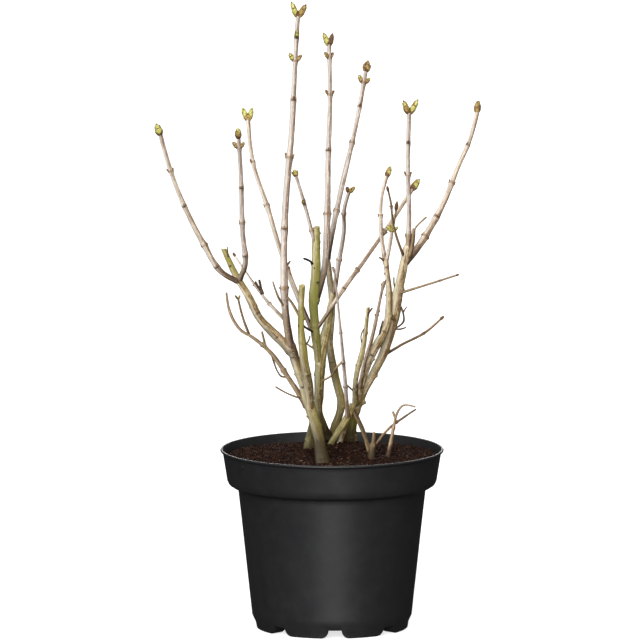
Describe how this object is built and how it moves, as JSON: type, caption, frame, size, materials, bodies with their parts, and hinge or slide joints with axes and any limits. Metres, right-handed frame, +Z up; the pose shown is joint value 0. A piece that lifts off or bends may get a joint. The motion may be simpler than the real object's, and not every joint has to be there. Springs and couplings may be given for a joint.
{
  "type": "potted lilac",
  "caption": "Bare multi-stemmed lilac shrub with swelling yellow-green buds, growing in peat in a round black plastic nursery pot with a deep collar and notched feet.",
  "frame": {"origin": "on the ground, on the pot's axis, at the middle of the flat pad under the pot", "axes": "+Z up along the pot's axis, +X to the right and -Y towards the front of the shrub"},
  "size_m": [0.3268, 0.224, 0.6358],
  "materials": {
    "pot": "black polypropylene with a soft satin sheen",
    "peat": "moist crumbly peat",
    "old_bark": "olive-brown bark with fine furrows",
    "green_bark": "algae-green bark",
    "dead_bark": "weathered dead wood",
    "young_shoots": "smooth beige-pink young bark with yellow-green buds"
  },
  "bodies": {
    "root": {"pot": "pot", "soil": "peat", "front_stem": "old_bark", "front_foot": "old_bark", "front_stub": "old_bark", "left_bough": "old_bark", "back_stem": "old_bark", "middle_stem": "old_bark", "green_stub": "green_bark", "right_stem": "old_bark", "crossing_stem": "old_bark", "inner_right_bough": "old_bark", "right_stub_tall": "old_bark", "right_stub_thin": "old_bark", "prop_foot": "old_bark", "dead_stump": "dead_bark", "leaning_stem": "old_bark", "shoot_tallest": "young_shoots", "shoot_left_far": "young_shoots", "shoot_left_high": "young_shoots", "shoot_left_inner": "young_shoots", "shoot_centre": "young_shoots", "shoot_back": "young_shoots", "shoot_short": "young_shoots", "shoot_small_left": "young_shoots", "shoot_diagonal": "young_shoots", "shoot_right_inner": "young_shoots", "shoot_right_high": "young_shoots", "shoot_right_far": "young_shoots", "shoot_right_small": "young_shoots", "shoot_right_stub": "young_shoots", "twig_right_upper": "young_shoots", "twig_right_lower": "young_shoots", "twig_left_upper": "young_shoots", "twig_left_lower": "young_shoots", "twig_centre": "young_shoots", "twig_low_right": "young_shoots", "twig_low_forked": "young_shoots"}
  },
  "joints": []
}
